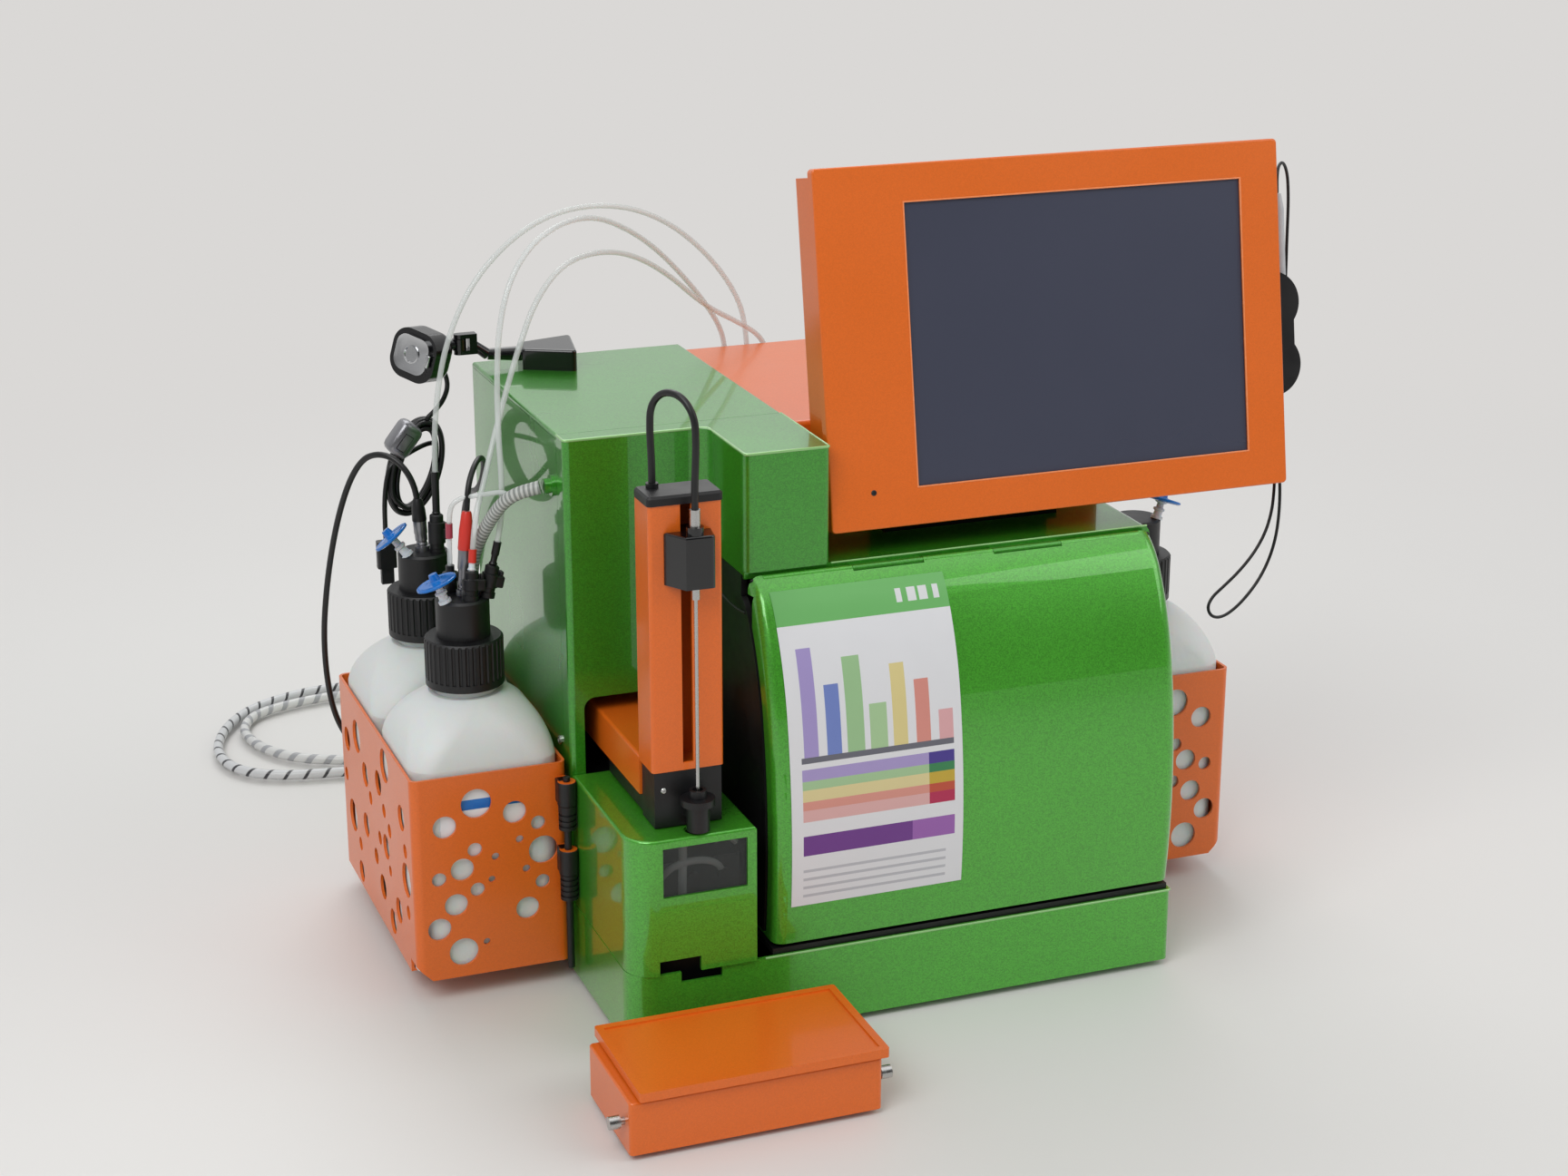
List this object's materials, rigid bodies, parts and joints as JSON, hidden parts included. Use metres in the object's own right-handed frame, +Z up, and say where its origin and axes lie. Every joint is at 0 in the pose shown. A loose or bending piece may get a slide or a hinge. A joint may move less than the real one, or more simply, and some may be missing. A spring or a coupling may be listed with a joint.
{
  "type": "flow cytometer",
  "caption": "Bench flow cytometer: painted sheet body with a tower, sampling arm, lift-up curved door, tilting touch screen and swing-out bottle holders on both sides.",
  "frame": {"origin": "middle of the underside, where the feet stand, with loose cords left out", "axes": "+X to the instrument's right as seen from the front, +Y to its back, +Z up"},
  "size_m": [0.6942, 0.8588, 0.5526],
  "materials": {
    "green_paint": "gloss",
    "light_green_paint": "gloss",
    "orange_paint": "semi-gloss",
    "black_plastic": "satin",
    "black_gloss": "gloss",
    "black_rubber": "satin",
    "clear_tube": "translucent",
    "hose": "translucent",
    "bottle_plastic": "translucent",
    "blue_plastic": "translucent",
    "grey_plastic": "satin",
    "aluminium": "anodised",
    "black_aluminium": "anodised",
    "steel": "brushed",
    "window": "clear",
    "screen": "gloss",
    "flow_glass": "clear"
  },
  "bodies": {
    "instrument": {"base_tray": "light_green_paint", "feet": "black_rubber", "tower_front": "green_paint", "tower_top": "green_paint", "side_panel_left": "green_paint", "right_shell": "green_paint", "rear_cover": "orange_paint", "rear_panel": "green_paint", "power_inlet": "black_plastic", "fluid_ports": "black_plastic", "optics_casing": "black_plastic", "optical_bench": "black_aluminium", "laser_and_detectors": "black_aluminium", "flow_cell": "aluminium", "fluidics_block": "grey_plastic", "arm_tunnel": "black_plastic", "monitor_bracket": "steel", "hinge_pins": "steel", "sampler_case": "orange_paint", "sampler_knobs": "steel", "reader_base": "black_gloss", "cable_hank": "black_rubber", "cable_plug": "black_plastic", "reader_cable": "black_rubber", "tube_a": "clear_tube", "tube_b": "clear_tube", "tube_c": "clear_tube", "front_sensor_cable": "black_rubber", "rear_sensor_cable": "black_rubber", "waste_hose": "hose", "table_hose": "hose"},
    "door": {"front_door": "light_green_paint"},
    "cover": {"sample_cover": "light_green_paint", "cover_window": "window"},
    "arm": {"arm_base": "orange_paint", "arm_tower": "orange_paint", "arm_cap": "black_plastic", "arm_foot": "black_plastic", "wash_cup": "black_plastic", "arm_cable": "black_rubber"},
    "carriage": {"carriage": "black_gloss", "needle": "steel"},
    "monitor": {"monitor_frame": "orange_paint", "monitor_back": "orange_paint", "touch_screen": "screen", "stylus_holder": "black_plastic", "stylus_lanyard": "black_rubber"},
    "stylus": {"stylus": "grey_plastic"},
    "left_holder": {"holder_left": "orange_paint", "bottles_left": "bottle_plastic", "caps_left": "black_plastic", "couplings_left": "black_plastic", "vent_filters_left": "blue_plastic", "sensor_plugs": "steel"},
    "right_holder": {"holder_right": "orange_paint", "bottles_right": "bottle_plastic", "caps_right": "black_plastic", "vent_filter_right": "blue_plastic"},
    "tray": {"sampler_tray": "orange_paint"},
    "reader": {"reader_head": "black_gloss"}
  },
  "joints": [
    {"name": "door_hinge", "type": "hinge", "parent": "instrument", "child": "door", "pos_m": [0.03635, -0.07125, 0.2995], "axis": [-1, 0, 0], "range_deg": [0, 75]},
    {"name": "cover_pull", "type": "slide", "parent": "instrument", "child": "cover", "axis": [0, -1, 0], "range_m": [0, 0.06]},
    {"name": "arm_slide", "type": "slide", "parent": "instrument", "child": "arm", "axis": [0, -1, 0], "range_m": [-0.075, 0.1]},
    {"name": "needle_lift", "type": "slide", "parent": "arm", "child": "carriage", "axis": [0, 0, -1], "range_m": [0, 0.104], "deforming": ["arm_cable"]},
    {"name": "monitor_tilt", "type": "hinge", "parent": "instrument", "child": "monitor", "pos_m": [0.07315, -0.00192, 0.34188], "axis": [-1, 0, 0], "range_deg": [-9.7, 15]},
    {"name": "stylus_pull", "type": "slide", "parent": "monitor", "child": "stylus", "axis": [0, 0.1688, 0.9856], "range_m": [0, 0.08], "deforming": ["stylus_lanyard"]},
    {"name": "left_holder_swing", "type": "hinge", "parent": "instrument", "child": "left_holder", "pos_m": [-0.213, -0.00575, 0.09], "axis": [0, 0, 1], "range_deg": [0, 90], "deforming": ["tube_a", "tube_b", "tube_c", "front_sensor_cable", "rear_sensor_cable", "waste_hose"]},
    {"name": "right_holder_swing", "type": "hinge", "parent": "instrument", "child": "right_holder", "pos_m": [0.1896, -0.00575, 0.09], "axis": [0, 0, -1], "range_deg": [0, 90], "deforming": ["stylus_lanyard"]},
    {"name": "tray_slide", "type": "slide", "parent": "instrument", "child": "tray", "axis": [1, 0, 0], "range_m": [-0.02, 0.02]},
    {"name": "reader_swivel", "type": "hinge", "parent": "instrument", "child": "reader", "pos_m": [-0.2207, 0.20975, 0.402], "axis": [0, 0, 1], "range_deg": [-20, 20], "deforming": ["reader_cable"]}
  ]
}
